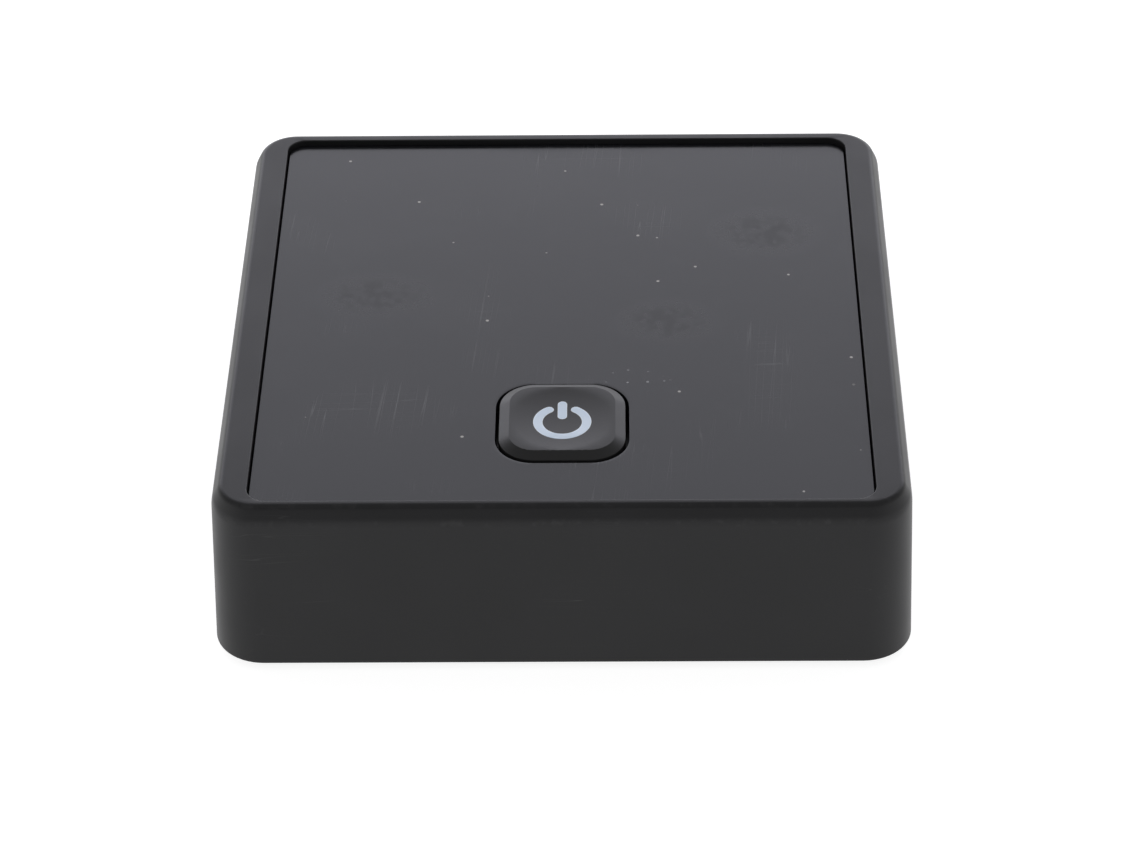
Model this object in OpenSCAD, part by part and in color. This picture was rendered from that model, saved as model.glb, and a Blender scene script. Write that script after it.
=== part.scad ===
// Bluetooth audio receiver: a low square plastic box with one power button on top
// and its sockets in the rear wall. Millimetres, +Z up. The button is at the front (-Y)
// and the origin is on the table, under the middle of the whole outline.

/* [Case] */
// Width and depth of the case at its bottom edge
case_w = 85; // [84.5:0.5:87]
// Height of the case without its feet
case_h = 23; // [23:0.25:24.5]
// How far the feet stand below the case
foot_stand = 1; // [0.8:0.1:1.2]
// How far each wall leans in between the bottom edge and the bevel
wall_lean = 0.7; // [0.4:0.1:0.9]
// Thickness of the walls
wall_t = 2; // [1.8:0.1:2.1]
// Radius of the upright corners at the bottom edge
corner_r = 6.2; // [5.8:0.1:6.8]
// Width of the top bevel, seen from above
bevel_in = 1; // [0.8:0.1:1.3]
// Height of the top bevel
bevel_h = 2; // [1.6:0.1:2.2]
// Thickness of the base cover
base_t = 2; // [1.8:0.1:2.2]

/* [Top panel] */
// Width of the flat rim at the left and right of the panel
rim_side = 3.4; // [2.8:0.1:4]
// Width of the flat rim in front of the panel
rim_front = 1; // [0.9:0.05:1.4]
// Width of the flat rim behind the panel
rim_rear = 1.4; // [1:0.05:1.5]
// Corner radius of the recess that holds the panel
recess_r = 2.5; // [2:0.1:3]
// How far the panel lies below the rim
panel_drop = 0.75; // [0.5:0.05:0.8]
// Thickness of the panel
panel_t = 1.5; // [1.3:0.1:1.6]
// Gap between the panel and the rim
panel_gap = 0.2; // [0.16:0.02:0.3]
// Thickness of the adhesive sheet under the panel
adhesive_t = 0.15; // [0.1:0.05:0.2]
// Thickness of the shelf that the panel is glued to
shelf_t = 1.8; // [1.6:0.1:1.9]

/* [Power button] */
// Width and depth of the button cap
key_w = 15.4; // [15:0.1:15.8]
// Corner radius of the button cap
key_r = 4.45; // [4:0.05:4.8]
// How far the button is in front of the middle of the case
key_forward = 23.65; // [22:0.05:24]
// Gap at the left and right of the button cap
key_gap_side = 0.43; // [0.3:0.01:0.5]
// Gap in front of and behind the button cap
key_gap_end = 0.27; // [0.2:0.01:0.4]
// Width of the button's bevel, seen from above
key_bevel_in = 1.25; // [1:0.05:1.4]
// Height of the button's bevel
key_bevel_h = 0.58; // [0.5:0.02:0.8]
// Depth of the finger dish in the button's face
dish_depth = 0.3; // [0.2:0.05:0.35]
// How far the button travels
key_travel = 0.35; // [0.25:0.05:0.35]
// Outer radius of the ring in the power symbol
ring_r = 3.55; // [3.2:0.05:3.7]
// Width of the symbol's strokes
stroke_w = 1.16; // [1:0.02:1.2]
// Half of the angle that the ring leaves open
ring_open = 33; // [25:1:34]

/* [Circuit board] */
// Thickness of the main board
board_t = 1.6; // [1.5:0.1:1.6]
// Height of the standoffs between the base cover and the board
standoff_h = 3; // [2.8:0.1:3]
// Height of the push switch from the board to the top of its plunger
switch_h = 9.5; // [9.3:0.1:9.6]

/* [Rear sockets] */
// How far the phono sleeves stand behind the middle of the case
phono_reach = 50; // [49.5:0.25:50.5]
// Distance between the two phono sockets
phono_pitch = 14; // [13.5:0.25:14]
// Outer diameter of a phono sleeve
phono_d = 8.3; // [8.2:0.05:8.3]
// Bore of the headphone socket
headphone_d = 3.6; // [3.55:0.01:3.6]
// Width and height of the optical socket's opening
optical_w = 8.4; // [8.2:0.1:8.4]
// Bore of the power socket
power_bore_d = 5.7; // [5.6:0.05:5.8]
// Diameter of the power socket's centre pin
power_pin_d = 2.1; // [2:0.1:2.1]

/* [Hidden] */
$fn = 64;
eps = 0.01;
fit_gap = 0.05;

// Heights above the table
case_z = foot_stand;
top_z = case_z + case_h;
bevel_z = top_z - bevel_h;
panel_z = top_z - panel_drop;
shelf_z = panel_z - panel_t - adhesive_t;
ceiling_z = shelf_z - shelf_t;
base_top_z = case_z + base_t;
board_z = base_top_z + standoff_h;
deck_z = board_z + board_t;

// Plan sizes, measured from the middle of the case
half_w = case_w / 2;
corner_c = half_w - corner_r;
recess_x = half_w - wall_lean - bevel_in - rim_side;
recess_front = -(half_w - wall_lean - bevel_in - rim_front);
recess_rear = half_w - wall_lean - bevel_in - rim_rear;
key_y = -key_forward;
screw_c = half_w - 6.5;
board_half_x = half_w - 4.5;
board_front = -(half_w - 6);
board_rear = half_w - 5;
notch_c = screw_c - 3.8;

// The phono sleeves reach past the rear wall, so the case sits forward of the middle
case_y = (half_w - phono_reach) / 2;

// Half of the case's width at a height on its leaning walls
function wall_half(z) = half_w - wall_lean * (z - case_z) / (bevel_z - case_z);

// Case screws and feet
boss_r = 3.2;
pilot_r = 1.3;
case_screw_shank_r = 1.25;
case_screw_head_r = 2.3;
case_screw_head_h = 1.5;
case_screw_l = 10;
seat_r = 3.4;
seat_h = 1.5;
seat_z = case_z + 1.8;
boss_z = base_top_z + seat_h + 0.1;
foot_c = half_w - 14.5;
foot_r = 4.5;
foot_socket = 0.4;
foot_edge = 0.3;

// Board screws
board_screw_x = board_half_x - 4;
board_screw_ys = [-26, 19];
standoff_r = 2.6;
board_pilot_r = 1.05;
board_screw_shank_r = 1;
board_screw_head_r = 1.9;
board_screw_head_h = 1.3;
board_screw_l = 5;
board_hole_r = 1.2;

// Button
key_bevel_z = top_z - key_bevel_h;
key_c = key_w / 2 - key_r;
key_flange_out = 1.5;
key_flange_t = 1.1;
key_flange_z = ceiling_z - 0.1 - key_flange_t;
key_skin = 1.4;
key_under_z = top_z - key_skin;
key_wall = 1.3;
dish_half = key_w / 2 - key_bevel_in;
dish_r = (dish_half * dish_half + dish_depth * dish_depth) / (2 * dish_depth);
post_r = 1.5;
plunger_top_z = deck_z + switch_h;
post_gap = 0.05;
diffuser_t = 0.8;
symbol_y = key_y - 0.45;
symbol_gap = 0.03;
bar_from = 0.62;
bar_to = 4.13;

// Push switch
switch_w = 6;
switch_body_h = 3.1;
switch_cover_t = 0.3;
plunger_r = 1.75;
plunger_foot_r = 2.2;
plunger_foot_z = deck_z + 1.8;
plunger_foot_t = 0.6;

// Rear sockets: where each stands along the wall, and how high its axis is
phono_x = [12, 12 + phono_pitch];
phono_z = deck_z + 5.5;
phono_r = phono_d / 2;
headphone_x = -1.5;
headphone_z = deck_z + 3;
optical_x = -13.5;
optical_z = deck_z + 5.2;
power_x = -27;
power_z = deck_z + 6.4;
socket_face_y = wall_half(power_z + 5) - wall_t - 0.25;
nose_y = wall_half(power_z) - 0.15;

// Phono pair: each sleeve has a thinner neck inside the rear wall
phono_wall = 0.6;
phono_neck_in = 0.2;
phono_neck_end = half_w - 0.15;
phono_root_y = socket_face_y - 2.6;
phono_body_front = 29;
phono_contact_r = 2.05;
phono_contact_bore_r = 1.6;
phono_recess = 0.6;

// Headphone socket
headphone_w = 7;
headphone_h = 6;
headphone_front = 26;
headphone_depth = 14.5;
ferrule_r = 3;
ferrule_end = wall_half(headphone_z) + 0.7;
contact_slot_w = 1;

// Optical socket
optical_body_w = 10;
optical_wall = 0.6;
optical_front = 24.5;
optical_guide_r = 2.7;
optical_guide_l = 3;
optical_lens_r = 1.4;
shutter_t = 0.7;
shutter_gap = 0.2;
shutter_pin_r = 0.3;
shutter_eye_r = 0.6;

// The open shutter lies in a bay above the opening, so that a plug passes under it
shutter_bay_h = 1.3;
shutter_z = optical_z + optical_w / 2 + shutter_bay_h / 2;
shutter_y = nose_y - 1.1;
shutter_low_z = optical_z - optical_w / 2 + shutter_gap;
optical_hall_y = shutter_y - (shutter_z - shutter_low_z) - 0.35;
optical_guide_y = optical_hall_y - optical_guide_l;
optical_nose_half = optical_w / 2 + optical_wall;
optical_nose_top = optical_z + optical_w / 2 + shutter_bay_h + optical_wall - 0.1;

// Power socket
power_w = 9;
power_h = 10.8;
power_front = 27.5;
power_depth = 10;
power_collar_r = 3.9;
power_pin_r = power_pin_d / 2;
power_root_r = power_pin_r + 0.5;

// ---- shared shapes ----

// Moves what is drawn round the middle of the case to its place in the part's frame
module in_case() {
    translate([0, case_y, 0]) children();
}

// A square block with leaning sides and conical corners, exact all round
module leaning_block(low_half, high_half, low_z, high_z, centre) {
    side = [[-low_half, low_z], [low_half, low_z], [high_half, high_z], [-high_half, high_z]];
    rotate([90, 0, 0]) linear_extrude(2 * centre, center = true) polygon(side);
    rotate([90, 0, 90]) linear_extrude(2 * centre, center = true) polygon(side);
    for (x = [-centre, centre], y = [-centre, centre])
        translate([x, y, low_z])
            cylinder(h = high_z - low_z, r1 = low_half - centre, r2 = high_half - centre);
}

// The same with upright sides, given by its half sizes and corner radius
module rounded_slab(half_x, half_y, r, low_z, high_z) {
    translate([0, 0, low_z]) linear_extrude(high_z - low_z) {
        square([2 * half_x, 2 * (half_y - r)], center = true);
        square([2 * (half_x - r), 2 * half_y], center = true);
        for (x = [r - half_x, half_x - r], y = [r - half_y, half_y - r])
            translate([x, y]) circle(r);
    }
}

// A plain box between two corners
module box(low, high) {
    translate(low) cube(high - low);
}

// A round bar along +Y from one depth to another
module bar_y(x, z, from_y, to_y, r) {
    translate([x, from_y, z]) rotate([-90, 0, 0]) cylinder(h = to_y - from_y, r = r);
}

// A cross-head screw standing on its point, head up
module screw(shank_r, length, head_r, head_h) {
    cross_w = head_r * 0.35;
    cross_l = head_r * 1.2;
    difference() {
        union() {
            translate([0, 0, -length]) cylinder(h = length + eps, r = shank_r);
            cylinder(h = head_h, r = head_r);
        }
        for (turn = [0, 90])
            rotate(turn) translate([-cross_l / 2, -cross_w / 2, head_h * 0.45])
                cube([cross_l, cross_w, head_h]);
    }
}

// Four copies at plus and minus x and y
module four(x, y) {
    for (sx = [-1, 1], sy = [-1, 1]) translate([sx * x, sy * y, 0]) children();
}

// Copies at the board screws
module at_board_screws() {
    for (x = [-board_screw_x, board_screw_x], y = board_screw_ys) translate([x, y, 0]) children();
}

// ---- case ----

module case_solid() {
    leaning_block(half_w, half_w - wall_lean, case_z, bevel_z, corner_c);
    leaning_block(half_w - wall_lean, half_w - wall_lean - bevel_in, bevel_z, top_z, corner_c);
}

module case_cavity() {
    below = case_z - 1;
    leaning_block(wall_half(below) - wall_t, wall_half(ceiling_z) - wall_t, below, ceiling_z, corner_c);
}

// Panel-shaped slab: inset is how far its edge lies inside the recess
module panel_slab(inset, low_z, high_z) {
    middle = (recess_front + recess_rear) / 2;
    half_y = (recess_rear - recess_front) / 2;
    translate([0, middle, 0])
        rounded_slab(recess_x - inset, half_y - inset, recess_r - inset, low_z, high_z);
}

module key_hole(low_z, high_z) {
    translate([0, key_y, 0])
        rounded_slab(key_w / 2 + key_gap_side, key_w / 2 + key_gap_end, key_r + key_gap_end, low_z, high_z);
}

module boss() {
    rib_t = 1.2;
    rib_reach = half_w - screw_c - wall_t / 2 - wall_lean;
    difference() {
        union() {
            translate([0, 0, boss_z]) cylinder(h = ceiling_z - boss_z + eps, r = boss_r);
            box([0, -rib_t / 2, boss_z + 4], [rib_reach, rib_t / 2, ceiling_z + eps]);
            box([-rib_t / 2, 0, boss_z + 4], [rib_t / 2, rib_reach, ceiling_z + eps]);
        }
        translate([0, 0, boss_z - eps]) cylinder(h = case_screw_l - seat_h, r = pilot_r);
    }
}

module socket_holes() {
    from_y = half_w - wall_lean - wall_t - 1.5;
    to_y = half_w + 1;
    hole_gap = 0.3;
    for (x = phono_x) bar_y(x, phono_z, from_y, to_y, phono_r + hole_gap);
    bar_y(headphone_x, headphone_z, from_y, to_y, ferrule_r + hole_gap);
    bar_y(power_x, power_z, from_y, to_y, power_collar_r + hole_gap);
    half_nose = optical_nose_half + hole_gap;
    box([optical_x - half_nose, from_y, optical_z - half_nose],
        [optical_x + half_nose, to_y, optical_nose_top + hole_gap]);
}

module top_housing() {
    color("#232325") in_case() {
        difference() {
            case_solid();
            case_cavity();
            panel_slab(0, shelf_z, top_z + 1);
            key_hole(ceiling_z - 1, top_z + 1);
            socket_holes();
        }
        for (turn = [0, 90, 180, 270]) rotate(turn) translate([screw_c, screw_c, 0]) boss();
    }
}

module top_panel() {
    color("#2f3034") in_case() difference() {
        panel_slab(panel_gap, panel_z - panel_t, panel_z);
        key_hole(shelf_z, top_z);
    }
}

module panel_adhesive() {
    color("#d8d4c4") in_case() difference() {
        panel_slab(2, shelf_z, shelf_z + adhesive_t);
        translate([0, key_y, 0])
            rounded_slab(key_w / 2 + 2, key_w / 2 + 2, key_r, shelf_z - 1, shelf_z + 1);
    }
}

module base_cover() {
    nest_gap = 0.15;
    label_x = 16.2;
    label_y = 10.2;
    color("#1e1e20") in_case() difference() {
        union() {
            leaning_block(wall_half(case_z) - wall_t - nest_gap, wall_half(base_top_z) - wall_t - nest_gap,
                case_z, base_top_z, corner_c);
            four(screw_c, screw_c)
                translate([0, 0, base_top_z - eps]) cylinder(h = seat_h + eps, r = seat_r);
            at_board_screws()
                translate([0, 0, base_top_z - eps]) cylinder(h = standoff_h + eps, r = standoff_r);
        }
        four(screw_c, screw_c) {
            translate([0, 0, case_z - 1]) cylinder(h = seat_z - case_z + 1, r = case_screw_head_r + 0.3);
            translate([0, 0, case_z]) cylinder(h = base_t + seat_h + 1, r = case_screw_shank_r + 0.2);
        }
        at_board_screws() translate([0, 0, case_z + 0.8]) cylinder(h = 10, r = board_pilot_r);
        four(foot_c, foot_c) translate([0, 0, case_z - 1]) cylinder(h = 1 + foot_socket, r = foot_r + 0.1);
        box([-label_x, -label_y, case_z - 1], [label_x, label_y, case_z + 0.2]);
    }
}

module rubber_feet() {
    foot_h = foot_stand + foot_socket;
    color("#3a3a3c") in_case() four(foot_c, foot_c)
        rotate_extrude() polygon([[0, 0], [foot_r - foot_edge, 0], [foot_r, foot_edge],
            [foot_r, foot_h], [0, foot_h]]);
}

module case_screws() {
    color("#8e9094") in_case() four(screw_c, screw_c)
        translate([0, 0, seat_z]) mirror([0, 0, 1])
            screw(case_screw_shank_r, case_screw_l, case_screw_head_r, case_screw_head_h);
}

module rating_label() {
    color("#c9cacc") in_case() box([-16, -10, case_z + 0.06], [16, 10, case_z + 0.2]);
}

// ---- power button ----

// The ball whose underside is the finger dish
module dish_ball() {
    translate([0, key_y, top_z - dish_depth + dish_r]) sphere(dish_r, $fn = 240);
}

// The power symbol's outline: an open ring with round ends and a round-ended bar
module symbol_outline(extra) {
    middle_r = ring_r - stroke_w / 2;
    half_stroke = stroke_w / 2 + extra;
    reach = 2 * ring_r;
    difference() {
        circle(ring_r + extra, $fn = 96);
        circle(ring_r - stroke_w - extra, $fn = 96);
        polygon([[0, 0], [-reach * tan(ring_open), reach], [reach * tan(ring_open), reach]]);
    }
    for (side = [-1, 1])
        translate([side * middle_r * sin(ring_open), middle_r * cos(ring_open)]) circle(half_stroke);
    translate([-half_stroke, bar_from + stroke_w / 2])
        square([2 * half_stroke, bar_to - bar_from - stroke_w]);
    for (y = [bar_from + stroke_w / 2, bar_to - stroke_w / 2]) translate([0, y]) circle(half_stroke);
}

module symbol_prism(extra, low_z, high_z) {
    translate([0, symbol_y, low_z]) linear_extrude(high_z - low_z) symbol_outline(extra);
}

module power_button() {
    flange_half = key_w / 2 + key_flange_out;
    hollow_half = key_w / 2 - key_wall;
    color("#29292b") in_case() difference() {
        union() {
            translate([0, key_y, 0]) difference() {
                union() {
                    rounded_slab(key_w / 2, key_w / 2, key_r, key_flange_z, key_bevel_z);
                    leaning_block(key_w / 2, key_w / 2 - key_bevel_in, key_bevel_z, top_z, key_c);
                    rounded_slab(flange_half, flange_half, key_r + key_flange_out,
                        key_flange_z, key_flange_z + key_flange_t);
                }
                rounded_slab(hollow_half, hollow_half, key_r - key_wall, key_flange_z - 1, key_under_z);
            }
            translate([0, key_y, plunger_top_z + post_gap])
                cylinder(h = key_under_z - plunger_top_z, r = post_r);
        }
        symbol_prism(symbol_gap, key_under_z, top_z + 1);
        dish_ball();
    }
}

module power_symbol() {
    color("#cfe0ee") in_case() difference() {
        symbol_prism(0, key_under_z, top_z);
        dish_ball();
    }
}

module light_diffuser() {
    plate_half = key_w / 2 - key_wall - 0.15;
    color("#e6e8ea") in_case() translate([0, key_y, 0]) difference() {
        rounded_slab(plate_half, plate_half, key_r - key_wall - 0.15, key_under_z - diffuser_t, key_under_z);
        translate([0, 0, key_under_z - diffuser_t - 1]) cylinder(h = 3, r = post_r + 0.15);
    }
}

// ---- circuit board ----

module main_board() {
    color("#1f5a3a") in_case() difference() {
        box([-board_half_x, board_front, board_z], [board_half_x, board_rear, deck_z]);
        for (sx = [-1, 1], sy = [-1, 1])
            translate([sx * (notch_c + 10), sy * (notch_c + 10), board_z]) cube(20, center = true);
        at_board_screws() translate([0, 0, board_z - 1]) cylinder(h = board_t + 2, r = board_hole_r);
    }
}

module board_screws() {
    color("#b9bbbe") in_case() at_board_screws() translate([0, 0, deck_z])
        screw(board_screw_shank_r, board_screw_l, board_screw_head_r, board_screw_head_h);
}

// ---- push switch ----

module switch_body() {
    half = switch_w / 2;
    cavity_r = plunger_foot_r + 0.3;
    color("#2a2a2c") in_case() translate([0, key_y, deck_z]) difference() {
        box([-half, -half, 0], [half, half, switch_body_h]);
        translate([0, 0, 0.7]) cylinder(h = switch_body_h, r = cavity_r);
    }
}

module switch_cover() {
    half = switch_w / 2;
    color("#c4c6c8") in_case() translate([0, key_y, deck_z + switch_body_h]) difference() {
        box([-half, -half, 0], [half, half, switch_cover_t]);
        translate([0, 0, -1]) cylinder(h = 2, r = plunger_r + fit_gap);
    }
}

module switch_dome() {
    dome_r = 2.3;
    dome_rise = 0.6;
    ball_r = (dome_r * dome_r + dome_rise * dome_rise) / (2 * dome_rise);
    dome_t = 0.12;
    color("#d0d0cc") in_case() translate([0, key_y, deck_z + 0.72]) intersection() {
        translate([0, 0, dome_rise - ball_r]) difference() {
            sphere(ball_r);
            sphere(ball_r - dome_t);
        }
        cylinder(h = 2, r = dome_r);
    }
}

module switch_legs() {
    leg_w = 0.7;
    leg_t = 0.3;
    reach = 1.4;
    half = switch_w / 2;
    color("#c4c6c8") in_case() for (side = [-1, 1], row = [-2.25, 2.25])
        translate([side * half, key_y + row - leg_w / 2, deck_z]) mirror([side < 0 ? 1 : 0, 0, 0]) {
            cube([reach, leg_w, leg_t]);
            cube([leg_t, leg_w, 1.2]);
        }
}

module switch_plunger() {
    color("#3a3a3d") in_case() translate([0, key_y, 0]) {
        translate([0, 0, plunger_foot_z]) {
            cylinder(h = plunger_top_z - plunger_foot_z, r = plunger_r);
            cylinder(h = plunger_foot_t, r = plunger_foot_r);
        }
    }
}

// ---- parts on the board ----

module status_leds() {
    color("#f2f0e4") in_case() for (x = [-5.6, 5.6]) translate([x - 0.8, key_y - 0.6, deck_z]) {
        cube([1.6, 1.2, 0.4]);
        translate([0.3, 0.1, 0]) cube([1, 1, 0.75]);
    }
}

radio_low = [-29.5, -31];
radio_high = [-16.5, -9];
radio_t = 0.8;

module bluetooth_board() {
    color("#1d3f6b") in_case()
        box([radio_low.x, radio_low.y, deck_z], [radio_high.x, radio_high.y, deck_z + radio_t]);
}

module bluetooth_shield() {
    shield_h = 1.9;
    sheet_t = 0.2;
    low = [radio_low.x + 0.7, radio_low.y + 6.5, deck_z + radio_t];
    high = [radio_high.x - 0.7, radio_high.y - 0.8, deck_z + radio_t + shield_h];
    color("#c6c8ca") in_case() difference() {
        box(low, high);
        box(low + [sheet_t, sheet_t, -1], high - [sheet_t, sheet_t, sheet_t]);
    }
}

module antenna_trace() {
    trace_w = 0.5;
    trace_t = 0.1;
    turns = 5;
    pitch = 2.2;
    depth = 4;
    start_x = radio_low.x + 1;
    front_y = radio_low.y + 0.8;
    color("#c98a3c") in_case() translate([0, 0, deck_z + radio_t]) {
        for (i = [0 : turns]) translate([start_x + i * pitch, front_y, 0]) cube([trace_w, depth, trace_t]);
        for (i = [0 : turns - 1])
            translate([start_x + i * pitch, i % 2 == 0 ? front_y + depth - trace_w : front_y, 0])
                cube([pitch + trace_w, trace_w, trace_t]);
    }
}

// A moulded chip on its row of feet: feet stand out along X
module chip(x, y, size_x, size_y, height, feet, pitch) {
    foot_l = 0.9;
    foot_w = pitch * 0.4;
    lift = 0.1;
    translate([x, y, deck_z]) {
        translate([-size_x / 2, -size_y / 2, lift]) cube([size_x, size_y, height]);
        for (i = [0 : feet - 1], side = [-1, 1])
            translate([side * (size_x / 2 + foot_l / 2 - 0.05), (i - (feet - 1) / 2) * pitch, 0.15])
                cube([foot_l, foot_w, 0.3], center = true);
    }
}

module audio_processor_chip() {
    color("#1b1b1d") in_case() chip(-3, -6, 7, 7, 0.9, 12, 0.5);
}

module audio_converter_chip() {
    color("#1b1b1d") in_case() chip(17, 8, 5.3, 10.2, 1.7, 14, 0.65);
}

module flash_memory_chip() {
    color("#1b1b1d") in_case() chip(-14, 3, 4, 5, 1.5, 4, 1.27);
}

module headphone_driver_chip() {
    color("#1b1b1d") in_case() chip(0, 15, 4, 5, 1.5, 4, 1.27);
}

module crystal_oscillator() {
    color("#b8babd") in_case() translate([0, 0, deck_z]) {
        box([5, -8, 0], [8.2, -5.5, 0.4]);
        box([5.2, -7.8, 0], [8, -5.7, 0.8]);
    }
}

module voltage_regulator() {
    color("#1b1b1d") in_case() {
        box([-28.5, 14, deck_z + 0.1], [-22, 17.5, deck_z + 1.7]);
        box([-26.8, 17.4, deck_z], [-23.7, 19.2, deck_z + 0.3]);
        for (i = [0 : 2]) translate([-27.9 + 2.3 * i, 12.4, deck_z]) cube([0.7, 1.7, 0.3]);
    }
}

can_places = [[-30, 8], [13, 20], [21.5, 20], [27, 8], [27, -2]];
can_base_h = 0.9;
can_r = 3.15;

module capacitor_bases() {
    half = 3.3;
    color("#202022") in_case() for (place = can_places) translate([place.x, place.y, deck_z])
        box([-half, -half, 0], [half, half, can_base_h]);
}

module capacitor_cans() {
    can_h = 6.8;
    groove_z = 1.2;
    color("#c9cbce") in_case() for (place = can_places)
        translate([place.x, place.y, deck_z + can_base_h]) rotate_extrude()
            polygon([[0, 0], [can_r, 0], [can_r, groove_z - 0.3], [can_r - 0.25, groove_z],
                [can_r, groove_z + 0.3], [can_r, can_h - 0.3], [can_r - 0.3, can_h], [0, can_h]]);
}

module power_inductors() {
    color("#4b4b4e") in_case() for (place = [[-21, 8], [-11, 16]])
        translate([place.x, place.y, deck_z]) {
            rounded_slab(3, 3, 0.8, 0, 0.6);
            cylinder(h = 2.8, r = 2.1);
            translate([0, 0, 2.3]) rounded_slab(3, 3, 0.8, 0, 0.6);
        }
}

// Two-terminal chip parts in a row
module chip_row(x, y, count, pitch, size) {
    for (i = [0 : count - 1])
        translate([x + i * pitch, y, deck_z]) translate([-size.x / 2, -size.y / 2, 0]) cube(size);
}

module ceramic_capacitors() {
    size = [0.8, 1.6, 0.8];
    color("#b99c6b") in_case() {
        chip_row(-10, -13, 8, 2, size);
        chip_row(9, 0, 3, 2, size);
        chip_row(-20, 20, 3, 2, size);
        chip_row(3, 22, 3, 2, size);
    }
}

module chip_resistors() {
    size = [0.8, 1.6, 0.45];
    color("#2b2b30") in_case() {
        chip_row(-10, 0.5, 8, 2, size);
        chip_row(10, -16, 6, 2, size);
        chip_row(-6, -30, 5, 2, size);
        chip_row(-4, 8, 4, 2, size);
    }
}

// ---- phono sockets ----

module phono_housing() {
    side = 6;
    color("#242426") in_case() difference() {
        box([phono_x[0] - side, phono_body_front, deck_z], [phono_x[1] + side, socket_face_y, deck_z + 11]);
        for (x = phono_x) {
            bar_y(x, phono_z, phono_root_y - fit_gap, socket_face_y + 1, phono_r + fit_gap);
            bar_y(x, phono_z, phono_root_y - 1.5, socket_face_y + 1, phono_contact_r + fit_gap);
        }
        middle = (phono_x[0] + phono_x[1]) / 2;
        box([middle - 0.8, phono_body_front - 1, deck_z + 3], [middle + 0.8, socket_face_y + 1, deck_z + 12]);
    }
}

module phono_sleeves() {
    edge = 0.25;
    length = phono_reach - phono_root_y;
    neck_l = phono_neck_end - phono_root_y;
    neck_r = phono_r - phono_neck_in;
    color("#c8cacc") in_case() for (x = phono_x) translate([x, phono_root_y, phono_z]) rotate([-90, 0, 0])
        rotate_extrude() polygon([[phono_r - phono_wall, 0], [neck_r, 0], [neck_r, neck_l],
            [phono_r, neck_l], [phono_r, length - edge], [phono_r - edge, length],
            [phono_r - phono_wall, length]]);
}

module phono_insulator(x) {
    length = phono_reach - phono_recess - phono_root_y;
    outer = phono_r - phono_wall - fit_gap;
    translate([x, phono_root_y, phono_z]) rotate([-90, 0, 0]) difference() {
        cylinder(h = length, r = outer);
        translate([0, 0, -1]) cylinder(h = length + 2, r = phono_contact_r + fit_gap);
    }
}

module phono_insulator_left() {
    color("#e8e6e0") in_case() phono_insulator(phono_x[1]);
}

module phono_insulator_right() {
    color("#b3202a") in_case() phono_insulator(phono_x[0]);
}

module phono_centre_contacts() {
    front = phono_root_y - 1.4;
    end = phono_reach - phono_recess - 0.2;
    color("#d0b060") in_case() for (x = phono_x) difference() {
        bar_y(x, phono_z, front, end, phono_contact_r);
        bar_y(x, phono_z, front + 2, end + 1, phono_contact_bore_r);
    }
}

// ---- headphone socket ----

module headphone_jack_body() {
    half = headphone_w / 2;
    bore_end = ferrule_end - headphone_depth;
    slot = contact_slot_w + 0.2;
    color("#232325") in_case() difference() {
        box([headphone_x - half, headphone_front, deck_z],
            [headphone_x + half, socket_face_y, deck_z + headphone_h]);
        bar_y(headphone_x, headphone_z, bore_end, socket_face_y + 1, headphone_d / 2);
        for (y = [29.5, 32.5, 35.5], side = [-1, 1])
            translate([headphone_x + side * (half - 0.4), y, deck_z + headphone_h / 2])
                cube([1, slot, headphone_h - 2], center = true);
    }
}

module headphone_jack_ferrule() {
    color("#c8cacc") in_case() difference() {
        bar_y(headphone_x, headphone_z, socket_face_y, ferrule_end, ferrule_r);
        bar_y(headphone_x, headphone_z, socket_face_y - 1, ferrule_end + 1, headphone_d / 2);
    }
}

module headphone_contacts() {
    half = headphone_w / 2;
    color("#c8cacc") in_case() for (y = [29.5, 32.5, 35.5], side = [-1, 1])
        translate([headphone_x + side * (half - 0.3), y, deck_z + headphone_h / 2 - 0.6])
            cube([0.3, contact_slot_w, headphone_h - 3.4], center = true);
}

// ---- optical socket ----

// A round bar across the socket at the shutter's hinge
module hinge_bar(half, r) {
    translate([optical_x - half, shutter_y, shutter_z]) rotate([0, 90, 0]) cylinder(h = 2 * half, r = r);
}

module optical_jack_body() {
    half = optical_body_w / 2;
    hall_half = optical_w / 2;
    lip_t = 0.4;
    color("#1f1f21") in_case() difference() {
        union() {
            box([optical_x - half, optical_front, deck_z],
                [optical_x + half, socket_face_y, optical_nose_top]);
            box([optical_x - optical_nose_half, socket_face_y - 1, optical_z - optical_nose_half],
                [optical_x + optical_nose_half, nose_y, optical_nose_top]);
        }
        box([optical_x - hall_half, optical_hall_y, optical_z - hall_half],
            [optical_x + hall_half, nose_y + 1, optical_z + hall_half]);
        box([optical_x - hall_half, optical_hall_y, optical_z],
            [optical_x + hall_half, nose_y - lip_t, optical_z + hall_half + shutter_bay_h]);
        bar_y(optical_x, optical_z, optical_guide_y, optical_hall_y + 1, optical_guide_r);
        bar_y(optical_x, optical_z, optical_front + 1, optical_guide_y + 1, optical_lens_r + fit_gap);
        hinge_bar(optical_nose_half - 0.1, shutter_pin_r + 0.02);
    }
}

module optical_emitter() {
    dome_z = optical_guide_y - optical_front - 1.2;
    color("#b8474a") in_case() translate([optical_x, optical_front + 1.1, optical_z]) rotate([-90, 0, 0]) {
        cylinder(h = dome_z, r = optical_lens_r);
        translate([0, 0, dome_z]) sphere(optical_lens_r);
    }
}

module optical_shutter() {
    half = optical_w / 2 - shutter_gap;
    color("#2b2b2e") in_case() difference() {
        union() {
            box([optical_x - half, shutter_y - shutter_t / 2, shutter_low_z],
                [optical_x + half, shutter_y + shutter_t / 2, shutter_z]);
            hinge_bar(half, shutter_eye_r);
        }
        hinge_bar(half + 1, shutter_pin_r + fit_gap);
    }
}

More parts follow.
